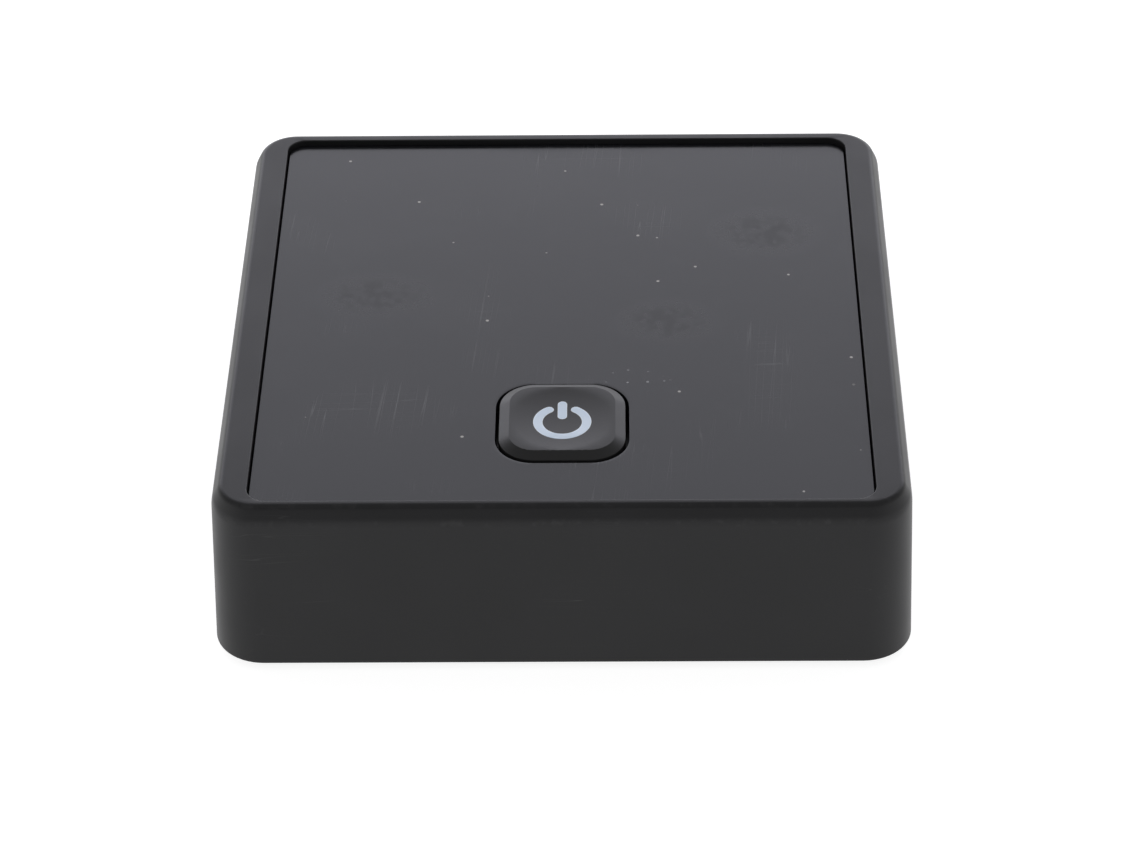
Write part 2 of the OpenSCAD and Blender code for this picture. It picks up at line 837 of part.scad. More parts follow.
module shutter_pin() {
    color("#b9bbbe") in_case() hinge_bar(optical_w / 2 + optical_wall - 0.15, shutter_pin_r);
}

// ---- power socket ----

module power_jack_body() {
    half = power_w / 2;
    color("#232325") in_case() difference() {
        union() {
            box([power_x - half, power_front, deck_z], [power_x + half, socket_face_y, deck_z + power_h]);
            bar_y(power_x, power_z, socket_face_y - 1, nose_y, power_collar_r);
        }
        bar_y(power_x, power_z, nose_y - power_depth, nose_y + 1, power_bore_d / 2);
        bar_y(power_x, power_z, power_front + 1, nose_y, power_root_r + 0.02);
        translate([power_x, nose_y - 6, power_z - power_bore_d / 2])
            cube([2.4, 7, 1.4], center = true);
    }
}

module power_jack_pin() {
    length = nose_y - 0.8 - power_front - 1.1;
    root_l = nose_y - power_depth - power_front - 1.1;
    color("#c8cacc") in_case() translate([power_x, power_front + 1.1, power_z]) rotate([-90, 0, 0])
        rotate_extrude() polygon([[0, 0], [power_root_r, 0], [power_root_r, root_l], [power_pin_r, root_l],
            [power_pin_r, length - 0.5], [power_pin_r - 0.4, length], [0, length]]);
}

module power_jack_contact() {
    color("#c8cacc") in_case() translate([power_x, nose_y - 6, power_z - power_bore_d / 2 - 0.4])
        cube([2, 6.4, 0.3], center = true);
}

top_housing();
top_panel();
panel_adhesive();
base_cover();
rubber_feet();
case_screws();
rating_label();
power_button();
power_symbol();
light_diffuser();
main_board();
board_screws();
switch_body();
switch_cover();
switch_dome();
switch_legs();
switch_plunger();
status_leds();
bluetooth_board();
bluetooth_shield();
antenna_trace();
audio_processor_chip();
audio_converter_chip();
flash_memory_chip();
headphone_driver_chip();
crystal_oscillator();
voltage_regulator();
capacitor_cans();
capacitor_bases();
power_inductors();
ceramic_capacitors();
chip_resistors();
phono_housing();
phono_sleeves();
phono_insulator_left();
phono_insulator_right();
phono_centre_contacts();
headphone_jack_body();
headphone_jack_ferrule();
headphone_contacts();
optical_jack_body();
optical_emitter();
optical_shutter();
shutter_pin();
power_jack_body();
power_jack_pin();
power_jack_contact();
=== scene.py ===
"""Looks of the Bluetooth audio receiver: shells, button, sockets, materials, floor, light and camera."""
import math

import bmesh
import bpy
from mathutils import Matrix, Vector


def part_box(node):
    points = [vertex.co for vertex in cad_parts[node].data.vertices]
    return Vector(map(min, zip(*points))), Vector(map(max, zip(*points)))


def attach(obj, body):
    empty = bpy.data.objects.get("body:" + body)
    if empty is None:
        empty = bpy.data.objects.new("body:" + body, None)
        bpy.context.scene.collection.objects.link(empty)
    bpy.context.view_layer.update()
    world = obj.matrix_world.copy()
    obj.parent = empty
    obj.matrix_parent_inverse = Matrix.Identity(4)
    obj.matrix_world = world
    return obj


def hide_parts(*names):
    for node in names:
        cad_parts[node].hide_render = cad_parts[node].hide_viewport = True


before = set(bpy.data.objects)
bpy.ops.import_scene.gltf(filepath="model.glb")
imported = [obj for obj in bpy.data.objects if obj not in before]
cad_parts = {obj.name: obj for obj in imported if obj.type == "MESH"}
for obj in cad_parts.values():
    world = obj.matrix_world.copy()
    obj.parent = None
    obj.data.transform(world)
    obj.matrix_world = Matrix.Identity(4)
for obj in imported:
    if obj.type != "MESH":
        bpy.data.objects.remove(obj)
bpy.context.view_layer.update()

MM = 0.001
ARC_STEPS = 14
TURN_STEPS = 96
RIGHT_ANGLE = math.radians(90)


def span(node):
    """A CAD node's lowest and highest corners, in millimetres."""
    return [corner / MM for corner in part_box(node)]


# ---------------------------------------------------------------- sizes, in millimetres, from the frame

case_low, case_high = span("top_housing")
panel_low, panel_high = span("top_panel")
key_low, key_high = span("power_button")

HALF_W = case_high.x
CASE_Y = (case_low.y + case_high.y) / 2
FOOT_Z = case_low.z
TOP_Z = case_high.z

# Form of the shell that its box doesn't tell
WALL_LEAN = 0.7
WALL_T = 2.0
CORNER_R = 6.2
BEVEL_IN = 1.0
BEVEL_H = 2.0
BEVEL_Z = TOP_Z - BEVEL_H
CORNER_C = HALF_W - CORNER_R

PANEL_GAP = 0.2
RECESS_R = 2.5
PANEL_Y = (panel_low.y + panel_high.y) / 2
PANEL_HALF_Y = (panel_high.y - panel_low.y) / 2
SHELF_Z = span("panel_adhesive")[0].z
SHELF_T = 1.8
CEILING_Z = SHELF_Z - SHELF_T

KEY_Y = (key_low.y + key_high.y) / 2
KEY_FLANGE = 1.5
KEY_HALF = key_high.x - KEY_FLANGE
KEY_R = 4.45
KEY_GAP_SIDE = 0.43
KEY_GAP_END = 0.27
KEY_BEVEL_IN = 1.25
KEY_BEVEL_H = 0.58
KEY_WALL = 1.3
KEY_FLANGE_TOP = CEILING_Z - 0.1
KEY_FLANGE_LOW = KEY_FLANGE_TOP - 1.1
KEY_UNDER_Z = span("light_diffuser")[1].z
DISH_DEPTH = 0.3
DISH_HALF = KEY_HALF - KEY_BEVEL_IN
DISH_BALL_R = (DISH_HALF ** 2 + DISH_DEPTH ** 2) / (2 * DISH_DEPTH)

# The power sign's strokes, measured from the middle of its ring
STROKE_W = 1.16
BAR_FROM, BAR_TO = 0.62, 4.13
RING_OPEN_HALF = math.radians(33)

# Outer radii of the round sockets in the rear wall
PHONO_R = 4.15
FERRULE_R = 3.0
POWER_BARREL_R = 3.9
PHONO_INSULATORS = ("phono_insulator_left", "phono_insulator_right")


def half_at(z):
    """Half of the case's width at a height on its leaning walls."""
    return HALF_W - WALL_LEAN * (z - FOOT_Z) / (BEVEL_Z - FOOT_Z)


# ---------------------------------------------------------------- mesh helpers

def fillet(points, steps=5):
    """Turns the corners of an open profile of (x, y, radius) into arcs.
    Gives (x, y, edge), where edge is 1 in the middle of an arc."""
    out = []
    for i, (x, y, r) in enumerate(points):
        here = Vector((x, y))
        if r == 0:
            out.append((x, y, 0.0))
            continue
        before = (Vector(points[i - 1][:2]) - here).normalized()
        after = (Vector(points[i + 1][:2]) - here).normalized()
        opening = before.angle(after)
        reach = r / math.tan(opening / 2)
        centre = here + (before + after).normalized() * (r / math.sin(opening / 2))
        turn = math.pi - opening
        for k in range(steps + 1):
            t = k / steps
            start = (here + before * reach - centre) * math.sin((1 - t) * turn)
            end = (here + after * reach - centre) * math.sin(t * turn)
            at = centre + (start + end) / math.sin(turn)
            out.append((at.x, at.y, math.sin(math.pi * t)))
    return out


def divided(start, end, steps):
    """The points that divide a straight side into equal steps, without its ends."""
    return [start.lerp(end, k / steps) for k in range(1, steps)]


def outline(half_x, half_y, r, z, middle=(0, 0), side_steps=1):
    """A rounded rectangle as a ring of points, its sides divided into side_steps.
    With r equal to both halves it is a circle."""
    corner = [Vector((math.cos(a), math.sin(a), 0)) * r
              for a in (RIGHT_ANGLE * k / ARC_STEPS for k in range(ARC_STEPS + 1))]
    ring = []
    for quarter, (sx, sy) in enumerate(((1, 1), (-1, 1), (-1, -1), (1, -1))):
        turn = Matrix.Rotation(RIGHT_ANGLE * quarter, 3, "Z")
        centre = Vector((middle[0] + sx * (half_x - r), middle[1] + sy * (half_y - r), z))
        arc = [centre + turn @ arm for arm in corner]
        if quarter:
            ring += divided(ring[-1], arc[0], side_steps)
        ring += arc
    return ring + divided(ring[-1], ring[0], side_steps)


def circle(r, z, steps=TURN_STEPS):
    """A circle as a ring of points."""
    return [Vector((r * math.cos(math.tau * k / steps), r * math.sin(math.tau * k / steps), z))
            for k in range(steps)]


def loft(rings, edges=None, hollow=False, place=Matrix.Identity(4)):
    """A closed skin through rings of points in millimetres: capped, or hollow with its ends joined.
    edges holds how worn each ring is, kept as the vertices' edge attribute."""
    bm = bmesh.new()
    wear_and_highlight = bm.verts.layers.float.new("edge")
    rows = []
    for ring, edge in zip(rings, edges or [0.0] * len(rings)):
        rows.append([bm.verts.new(place @ (p * MM)) for p in ring])
        for v in rows[-1]:
            v[wear_and_highlight] = edge
    count = len(rows[0])
    pairs = list(zip(rows, rows[1:]))
    if hollow:
        pairs.append((rows[-1], rows[0]))
    for low, high in pairs:
        for i in range(count):
            j = (i + 1) % count
            bm.faces.new((low[i], low[j], high[j], high[i]))
    if not hollow:
        bm.faces.new(list(reversed(rows[0])))
        bm.faces.new(rows[-1])
    bmesh.ops.remove_doubles(bm, verts=bm.verts, dist=1e-8)
    bmesh.ops.recalc_face_normals(bm, faces=bm.faces)
    return bm


def lathe(profile, hollow=False, place=Matrix.Identity(4), steps=TURN_STEPS):
    """A turned piece from (radius, height) or (radius, height, edge) points."""
    rings = [circle(p[0], p[1], steps) for p in profile]
    edges = [p[2] if len(p) > 2 else 0.0 for p in profile]
    return loft(rings, edges, hollow, place)


def facing_back(x, y, z):
    """Places a shape drawn upright so that its height runs out of the rear wall, along +Y."""
    return Matrix.Translation(Vector((x, y, z)) * MM) @ Matrix.Rotation(-RIGHT_ANGLE, 4, "X")


def up_at(x, y, z):
    """Places a shape drawn upright at a point."""
    return Matrix.Translation(Vector((x, y, z)) * MM)


def mesh_object(name, *skins):
    """One object from one or more bmesh skins."""
    mesh = bpy.data.meshes.new(name)
    whole = bmesh.new()
    for skin in skins:
        skin.to_mesh(mesh)
        whole.from_mesh(mesh)
        skin.free()
    whole.to_mesh(mesh)
    whole.free()
    made = bpy.data.objects.new(name, mesh)
    bpy.context.scene.collection.objects.link(made)
    return made


def bake(made):
    """Applies every modifier on an object."""
    bpy.context.view_layer.update()
    graph = bpy.context.evaluated_depsgraph_get()
    mesh = bpy.data.meshes.new_from_object(made.evaluated_get(graph))
    made.modifiers.clear()
    made.data = mesh


def combine(made, operation, *others):
    """Adds (UNION) or takes away (DIFFERENCE) each other object's shape, and bakes the result."""
    for other in others:
        boolean = made.modifiers.new("combine", "BOOLEAN")
        boolean.operation = operation
        boolean.solver = "EXACT"
        boolean.object = other
    bake(made)
    for other in others:
        bpy.data.objects.remove(other)


def soften(made, width=0.0, segments=2, limit=40):
    """Rounds the edges sharper than limit degrees by width millimetres, and shades the faces evenly."""
    if width:
        bevel = made.modifiers.new("edges", "BEVEL")
        bevel.limit_method = "ANGLE"
        bevel.angle_limit = math.radians(limit)
        bevel.width = width * MM
        bevel.segments = segments
        bake(made)
    made.data.shade_smooth()
    made.data.set_sharp_from_angle(angle=math.radians(limit))
    even = made.modifiers.new("even_shading", "WEIGHTED_NORMAL")
    even.keep_sharp = True
    even.weight = 100


def soften_cad(node, width, segments=2):
    """Rounds a CAD node's edges with modifiers alone, so its own mesh stays as it is."""
    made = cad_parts[node]
    weld = made.modifiers.new("weld", "WELD")
    weld.merge_threshold = 1e-7
    flat = made.modifiers.new("flat_faces", "DECIMATE")
    flat.decimate_type = "DISSOLVE"
    flat.angle_limit = math.radians(0.5)
    bevel = made.modifiers.new("edges", "BEVEL")
    bevel.limit_method = "ANGLE"
    bevel.angle_limit = math.radians(40)
    bevel.width = width * MM
    bevel.segments = segments
    smooth = made.modifiers.new("even_shading", "WEIGHTED_NORMAL")
    smooth.weight = 100
    return made


def finish_piece(made, look, body, slot, *nodes):
    """Gives a piece its material and its body, and hides the CAD nodes it stands for; the slot is not used.
    """
    made.data.materials.clear()
    made.data.materials.append(look)
    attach(made, body)
    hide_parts(*nodes)
    return made


# ---------------------------------------------------------------- materials

class Look:
    """A procedural material: textures in the object's own space, wired into one shader."""

    def __init__(self, name, colour, roughness, metallic=0.0, specular=0.5, **sockets):
        self.material = bpy.data.materials.new(name)
        self.material.use_nodes = True
        self.tree = self.material.node_tree
        self.shader = self.tree.nodes["Principled BSDF"]
        self.shader.inputs["Base Color"].default_value = (*colour, 1)
        self.shader.inputs["Roughness"].default_value = roughness
        self.shader.inputs["Metallic"].default_value = metallic
        self.shader.inputs["Specular IOR Level"].default_value = specular
        for socket, value in sockets.items():
            self.shader.inputs[socket.replace("_", " ")].default_value = value
        self.paint = (*colour, 1)
        self.gloss = roughness
        self.normal = None
        self.place = self.add("ShaderNodeTexCoord").outputs["Object"]

    def add(self, kind, **settings):
        """A new node with its settings."""
        node = self.tree.nodes.new(kind)
        for key, value in settings.items():
            setattr(node, key, value)
        return node

    def wire(self, value, socket):
        """Links an output to a socket, or sets the socket to a number or colour."""
        if isinstance(value, bpy.types.NodeSocket):
            self.tree.links.new(value, socket)
        else:
            socket.default_value = value

    def times(self, a, b):
        """The product of two values."""
        node = self.add("ShaderNodeMath", operation="MULTIPLY")
        self.wire(a, node.inputs[0])
        self.wire(b, node.inputs[1])
        return node.outputs[0]

    def stretched(self, stretch, turn=0.0):
        """The object's own coordinates, turned about Z and then stretched."""
        node = self.add("ShaderNodeMapping", vector_type="TEXTURE")
        node.inputs["Rotation"].default_value[2] = math.radians(turn)
        node.inputs["Scale"].default_value = stretch
        self.wire(self.place, node.inputs["Vector"])
        return node.outputs["Vector"]

    def noise(self, size, detail=2.0, where=None, roughness=0.5):
        """Noise whose lumps are about size millimetres across."""
        node = self.add("ShaderNodeTexNoise")
        self.wire(where or self.place, node.inputs["Vector"])
        node.inputs["Scale"].default_value = 1 / (size * MM)
        node.inputs["Detail"].default_value = detail
        node.inputs["Roughness"].default_value = roughness
        return node.outputs["Fac"]

    def fade(self, value, low, high, to_low=0.0, to_high=1.0):
        """Maps value from low..high to to_low..to_high, smoothly and clamped."""
        node = self.add("ShaderNodeMapRange", interpolation_type="SMOOTHSTEP")
        self.wire(value, node.inputs["Value"])
        node.inputs["From Min"].default_value = low
        node.inputs["From Max"].default_value = high
        node.inputs["To Min"].default_value = to_low
        node.inputs["To Max"].default_value = to_high
        return node.outputs["Result"]

    def spot(self, centre, radii):
        """1 at a point, fading to 0 at the radii along each axis, all in millimetres."""
        node = self.add("ShaderNodeMapping", vector_type="TEXTURE")
        node.inputs["Location"].default_value = Vector(centre) * MM
        node.inputs["Scale"].default_value = Vector(radii) * MM
        self.wire(self.place, node.inputs["Vector"])
        length = self.add("ShaderNodeVectorMath", operation="LENGTH")
        self.wire(node.outputs["Vector"], length.inputs[0])
        return self.fade(length.outputs["Value"], 0.3, 1.0, 1.0, 0.0)

    def specks(self, spacing, size, share):
        """Sparse round specks: one cell every spacing millimetres, of which only a share shows."""
        cells = self.add("ShaderNodeTexVoronoi")
        self.wire(self.place, cells.inputs["Vector"])
        cells.inputs["Scale"].default_value = 1 / (spacing * MM)
        parts = self.add("ShaderNodeSeparateColor")
        self.wire(cells.outputs["Color"], parts.inputs["Color"])
        chosen = self.fade(parts.outputs[0], 1 - share, 1 - share + 0.001)
        near = self.fade(cells.outputs["Distance"], size / spacing * 0.5, size / spacing, 1.0, 0.0)
        return self.times(near, chosen)

    def scratches(self, spacing, width, turn, share, stretch=60):
        """Fine hairlines along one direction."""
        lines = self.noise(spacing, detail=0, where=self.stretched((stretch, 1, 1), turn))
        band = self.fade(lines, 0.5, 0.5 + width, 0.0, 1.0)
        back = self.fade(lines, 0.5 + width, 0.5 + 2 * width, 1.0, 0.0)
        patch = self.fade(self.noise(14, detail=1), 0.58 - share, 0.80 - share)
        return self.times(self.times(band, back), patch)

    def edge(self):
        """1 along the rounded edges of a lofted piece."""
        return self.add("ShaderNodeAttribute", attribute_name="edge").outputs["Fac"]

    def tint(self, amount, colour):
        """Mixes a colour over the present one by amount."""
        node = self.add("ShaderNodeMix", data_type="RGBA")
        self.wire(amount, node.inputs[0])
        self.wire(self.paint, node.inputs[6])
        self.wire((*colour, 1), node.inputs[7])
        self.paint = node.outputs[2]
        self.wire(self.paint, self.shader.inputs["Base Color"])

    def polish(self, amount, roughness):
        """Mixes another roughness over the present one by amount."""
        node = self.add("ShaderNodeMix", data_type="FLOAT")
        self.wire(amount, node.inputs[0])
        self.wire(self.gloss, node.inputs[2])
        self.wire(roughness, node.inputs[3])
        self.gloss = node.outputs[0]
        self.wire(self.gloss, self.shader.inputs["Roughness"])

    def bump(self, height, depth):
        """Raises the surface by height (0 to 1) times depth in millimetres."""
        node = self.add("ShaderNodeBump")
        node.inputs["Distance"].default_value = depth * MM
        self.wire(height, node.inputs["Height"])
        if self.normal:
            self.wire(self.normal, node.inputs["Normal"])
        self.normal = node.outputs["Normal"]
        self.wire(self.normal, self.shader.inputs["Normal"])


DUST = (0.55, 0.53, 0.50)


def moulded(name, colour, roughness, grain=0.22, depth=0.004, specular=0.25, dust=0.01, **sockets):
    """Injection-moulded plastic: fine grain, patchy sheen, a little dust."""
    look = Look(name, colour, roughness, specular=specular, **sockets)
    look.tint(look.fade(look.noise(14, detail=3), 0.35, 0.7, 0.0, 0.3), [c * 1.4 for c in colour])
    look.polish(look.fade(look.noise(9, detail=4), 0.35, 0.65), roughness + 0.04)
    fine = look.noise(grain, detail=3, roughness=0.6)
    look.tint(look.fade(fine, 0.55, 0.75, 0.0, 0.25), [c * 1.9 for c in colour])
    look.bump(fine, depth)
    look.tint(look.specks(1.3, 0.12, dust), DUST)
    return look


def metal(name, colour, roughness, lines_along=(1, 1, 1)):
    """Bare or plated metal: fine tool lines, dull patches."""
    look = Look(name, colour, roughness, metallic=1.0)
    patches = look.noise(2.2, detail=4)
    look.tint(look.fade(patches, 0.5, 0.8, 0.0, 0.5), [c * 0.7 for c in colour])
    look.polish(look.fade(patches, 0.4, 0.7), roughness + 0.14)
    lines = look.noise(0.08, detail=2, where=look.stretched(lines_along))
    look.polish(look.fade(lines, 0.45, 0.6, 0.0, 0.4), roughness + 0.2)
    look.bump(lines, 0.0008)
    return look


def coated(name, colour, roughness, second, size=3.0, specular=0.5, **sockets):
    """Smooth cast, printed or coated surface with soft colour patches and a faint orange peel."""
    look = Look(name, colour, roughness, specular=specular, **sockets)
    look.tint(look.fade(look.noise(size, detail=3), 0.4, 0.65, 0.0, 0.5), second)
    look.polish(look.fade(look.noise(size * 0.4, detail=3), 0.4, 0.65), roughness + 0.1)
    look.bump(look.noise(0.35, detail=2), 0.003)
    look.tint(look.specks(0.9, 0.1, 0.01), DUST)
    return look


def housing_black():
    """Fine-grained shell: rubbed a little along its edges, faint hairlines, a few dust specks."""
    look = moulded("housing_black", (0.0105, 0.0105, 0.0115), 0.38, dust=0.004)
    look.polish(look.edge(), 0.32)
    rubbed = look.fade(look.noise(1.5, detail=4), 0.5, 0.75)
    look.tint(look.times(look.edge(), rubbed), (0.020, 0.020, 0.021))
    look.tint(look.times(look.scratches(1.2, 0.004, 0, 0.05), 0.4), (0.06, 0.06, 0.06))
    look.tint(look.specks(4.5, 0.22, 0.012), DUST)
    return look.material


# Finger smudges on the panel, as (middle, radii), and the middle of the light nicks behind the button
SMUDGES = (((26, PANEL_Y + 18, TOP_Z), (9, 7, 9)),
           ((13, PANEL_Y - 2, TOP_Z), (8, 6, 8)),
           ((-24, PANEL_Y + 4, TOP_Z), (10, 6, 9)))
NICKS = (KEY_HALF + 1.5, KEY_Y + KEY_HALF + 1.2, TOP_Z)


def panel_black():
    """Glossy insert: hairline scratches, finger smudges, nicks behind the button and dust."""
    look = Look("panel_black", (0.009, 0.0095, 0.0115), 0.19, specular=0.29)
    smudge = look.fade(look.noise(16, detail=4, roughness=0.6), 0.45, 0.75)
    look.polish(smudge, 0.27)
    look.polish(look.fade(look.noise(3, detail=5), 0.55, 0.8, 0.0, 0.6), 0.31)
    mottle = look.fade(look.noise(1.2, detail=3), 0.35, 0.6, 0.35, 1.0)
    for centre, radii in SMUDGES:
        look.polish(look.times(look.spot(centre, radii), mottle), 0.42)
    look.bump(look.noise(6, detail=2), 0.003)
    look.bump(look.noise(0.3, detail=2), 0.0006)
    for turn, share in ((2, 0.0), (86, 0.07)):
        look.tint(look.times(look.scratches(0.9, 0.013, turn, share), 0.5), (0.11, 0.11, 0.115))
    look.tint(look.times(look.specks(0.9, 0.22, 0.4), look.spot(NICKS, (5, 3.5, 5))), (0.22, 0.22, 0.23))
    look.tint(look.times(look.specks(2.4, 0.26, 0.08), 0.7), DUST)
    return look.material


def key_black():
    """Satin button cap, rubbed along the front edge of its dish."""
    look = moulded("key_black", (0.0125, 0.0125, 0.013), 0.31, grain=0.2, depth=0.008, specular=0.26,
                   dust=0.03)
    front_crease = look.spot((0, KEY_Y - DISH_HALF, TOP_Z), (9, 1.6, 1.5))
    rubbed = look.fade(look.noise(0.35, detail=5, roughness=0.7), 0.5, 0.66)
    look.tint(look.times(front_crease, look.times(look.edge(), rubbed)), (0.12, 0.12, 0.12))
    return look.material


def symbol_plastic():
    """Pale light guide, with a painted highlight along the rounded rim of its strokes, and darker at the
    front of its ring.
    """
    look = Look("symbol_plastic", (0.58, 0.68, 0.80), 0.35, specular=0.5)
    look.tint(look.fade(look.noise(1.2, detail=3), 0.35, 0.7, 0.0, 0.3), (0.66, 0.73, 0.82))
    # Painted highlight: the strokes' rounded rim, marked by the edge attribute, is mixed towards a paler
    # blue.
    look.tint(look.edge(), (0.80, 0.86, 0.92))
    look.tint(look.spot((0, KEY_Y - 4.2, TOP_Z), (4.5, 2.2, 3)), (0.50, 0.60, 0.71))
    look.bump(look.noise(0.25, detail=2), 0.002)
    return look.material


def diffuser_plastic():
    """Milky light spreader."""
    return coated("diffuser_plastic", (0.78, 0.79, 0.80), 0.55, (0.70, 0.72, 0.75)).material


def base_black():
    """Base cover: coarser grain than the shell."""
    return moulded("base_black", (0.013, 0.013, 0.0135), 0.5, grain=0.35, depth=0.008, dust=0.01).material


def foot_rubber():
    """Soft grey-black rubber with dust in its skin."""
    look = moulded("foot_rubber", (0.035, 0.035, 0.037), 0.75, grain=0.3, depth=0.012, dust=0.12)
    look.tint(look.fade(look.noise(2.5, detail=5), 0.5, 0.8, 0.0, 0.4), (0.09, 0.088, 0.085))
    return look.material


def screw_steel():
    """Plain steel of the case screws."""
    return metal("screw_steel", (0.42, 0.42, 0.44), 0.34).material


def label_sheet():
    """Blank silver-grey foil label with a faint brushed line."""
    look = Look("label_sheet", (0.48, 0.485, 0.49), 0.42, metallic=0.6)
    brushed = look.noise(0.15, detail=3, where=look.stretched((40, 1, 1)))
    look.polish(look.fade(brushed, 0.4, 0.6), 0.52)
    look.tint(look.fade(look.noise(6, detail=3), 0.4, 0.7, 0.0, 0.4), (0.55, 0.55, 0.55))
    look.bump(brushed, 0.001)
    return look.material


def adhesive():
    """Yellowed double-sided sheet."""
    return coated("adhesive", (0.62, 0.58, 0.48), 0.6, (0.55, 0.50, 0.40)).material


def board_green():
    """Solder mask with darker tracks showing through."""
    look = coated("board_green", (0.012, 0.075, 0.035), 0.32, (0.010, 0.06, 0.028), size=6)
    tracks = look.add("ShaderNodeTexBrick")
    look.wire(look.place, tracks.inputs["Vector"])
    tracks.inputs["Scale"].default_value = 1 / (9 * MM)
    tracks.inputs["Mortar Size"].default_value = 0.02
    look.tint(look.times(tracks.outputs["Fac"], 0.7), (0.03, 0.13, 0.06))
    look.bump(tracks.outputs["Fac"], 0.01)
    return look.material


def switch_black():
    """Body of the push switch."""
    return moulded("switch_black", (0.016, 0.016, 0.017), 0.45).material


def tinned_steel():
    """Tinned sheet steel: shields, legs, contacts."""
    return metal("tinned_steel", (0.60, 0.60, 0.60), 0.32, (12, 1, 1)).material


def spring_steel():
    """Bright sprung sheet."""
    return metal("spring_steel", (0.55, 0.54, 0.52), 0.22, (8, 1, 1)).material


def plunger_grey():
    """Dark grey nylon of the plunger."""
    return moulded("plunger_grey", (0.05, 0.05, 0.053), 0.45).material


def led_body():
    """Milky light-emitter packages."""
    return coated("led_body", (0.72, 0.70, 0.60), 0.35, (0.66, 0.62, 0.45), size=0.8).material


def radio_blue():
    """Blue solder mask of the radio board."""
    return coated("radio_blue", (0.012, 0.045, 0.13), 0.32, (0.010, 0.035, 0.10), size=4).material


def copper():
    """Bare copper of the antenna."""
    return metal("copper", (0.78, 0.42, 0.22), 0.30, (1, 10, 1)).material


def chip_epoxy():
    """Matt black chip packages."""
    return moulded("chip_epoxy", (0.014, 0.014, 0.015), 0.55, grain=0.12, depth=0.006).material


def can_aluminium():
    """Drawn aluminium cans."""
    return metal("can_aluminium", (0.72, 0.73, 0.74), 0.28, (1, 1, 14)).material


def inductor_ferrite():
    """Dark grey sintered ferrite."""
    return moulded("inductor_ferrite", (0.055, 0.055, 0.058), 0.6, grain=0.15, depth=0.01).material


def ceramic_tan():
    """Tan ceramic capacitors."""
    return coated("ceramic_tan", (0.42, 0.30, 0.17), 0.5, (0.36, 0.25, 0.14), size=0.7).material


def resistor_black():
    """Printed face of the chip resistors."""
    return moulded("resistor_black", (0.016, 0.016, 0.018), 0.4, grain=0.1).material


def jack_black():
    """Black nylon of the socket bodies."""
    return moulded("jack_black", (0.014, 0.014, 0.015), 0.38, grain=0.25, depth=0.003).material


def nickel():
    """Polished nickel plating."""
    return metal("nickel", (0.62, 0.60, 0.56), 0.18, (1, 1, 1)).material


def insulator_white():
    """White ring of the left phono socket."""
    return coated("insulator_white", (0.74, 0.72, 0.67), 0.38, (0.68, 0.65, 0.58), size=2).material


def insulator_red():
    """Red ring of the right phono socket."""
    return coated("insulator_red", (0.42, 0.012, 0.016), 0.36, (0.34, 0.008, 0.012), size=2).material


def contact_gold():
    """Gold-plated contacts."""
    return metal("contact_gold", (0.86, 0.62, 0.26), 0.20, (1, 1, 1)).material


def emitter_red():
    """Tinted lens of the optical emitter."""
    return coated("emitter_red", (0.35, 0.02, 0.03), 0.2, (0.42, 0.03, 0.03), size=1.5).material


def shutter_black():
    """Flap of the optical socket."""
    return moulded("shutter_black", (0.018, 0.018, 0.019), 0.42, grain=0.2, depth=0.004).material


# ---------------------------------------------------------------- case

def case_ring(half, z):
    """The case's outline where it is half as wide as given."""
    return outline(half, half, half - CORNER_C, z, (0, CASE_Y))


def recess_ring(out, z):
    """The outline of the panel's recess, widened by out."""
    half_x = panel_high.x + PANEL_GAP + out
    return outline(half_x, PANEL_HALF_Y + PANEL_GAP + out, RECESS_R + out, z, (0, PANEL_Y))


def key_ring(out, z, side_steps=1):
    """The button's outline, widened by out."""
    return outline(KEY_HALF + out, KEY_HALF + out, KEY_R + out, z, (0, KEY_Y), side_steps)


def hole_ring(out, z):
    """The outline of the hole round the button, widened by out."""
    half_x = KEY_HALF + KEY_GAP_SIDE + out
    return outline(half_x, KEY_HALF + KEY_GAP_END + out, KEY_R + KEY_GAP_END + out, z, (0, KEY_Y))


def socket_cutters():
    """Shapes of the holes in the rear wall, one for each socket."""
    gap = 0.3
    past = 1.5
    from_y = CASE_Y + HALF_W - WALL_LEAN - WALL_T - past
    depth = past + WALL_T + WALL_LEAN + 1
    cutters = []
    round_sockets = [(node, PHONO_R) for node in PHONO_INSULATORS]
    round_sockets += [("headphone_jack_ferrule", FERRULE_R), ("power_jack_pin", POWER_BARREL_R)]
    for node, r in round_sockets:
        low, high = span(node)
        place = facing_back((low.x + high.x) / 2, from_y, (low.z + high.z) / 2)
        cutters.append(mesh_object("cutter", lathe([(r + gap, 0), (r + gap, depth)], place=place)))
    low, high = span("optical_jack_body")
    half_x = (high.x - low.x) / 2 - 0.2 + gap
    low_z = low.z + 0.4 - gap
    half_z = (high.z + gap - low_z) / 2
    place = facing_back((low.x + high.x) / 2, from_y, low_z + half_z)
    rings = [outline(half_x, half_z, 0.2, z) for z in (0, depth)]
    cutters.append(mesh_object("cutter", loft(rings, place=place)))
    return cutters


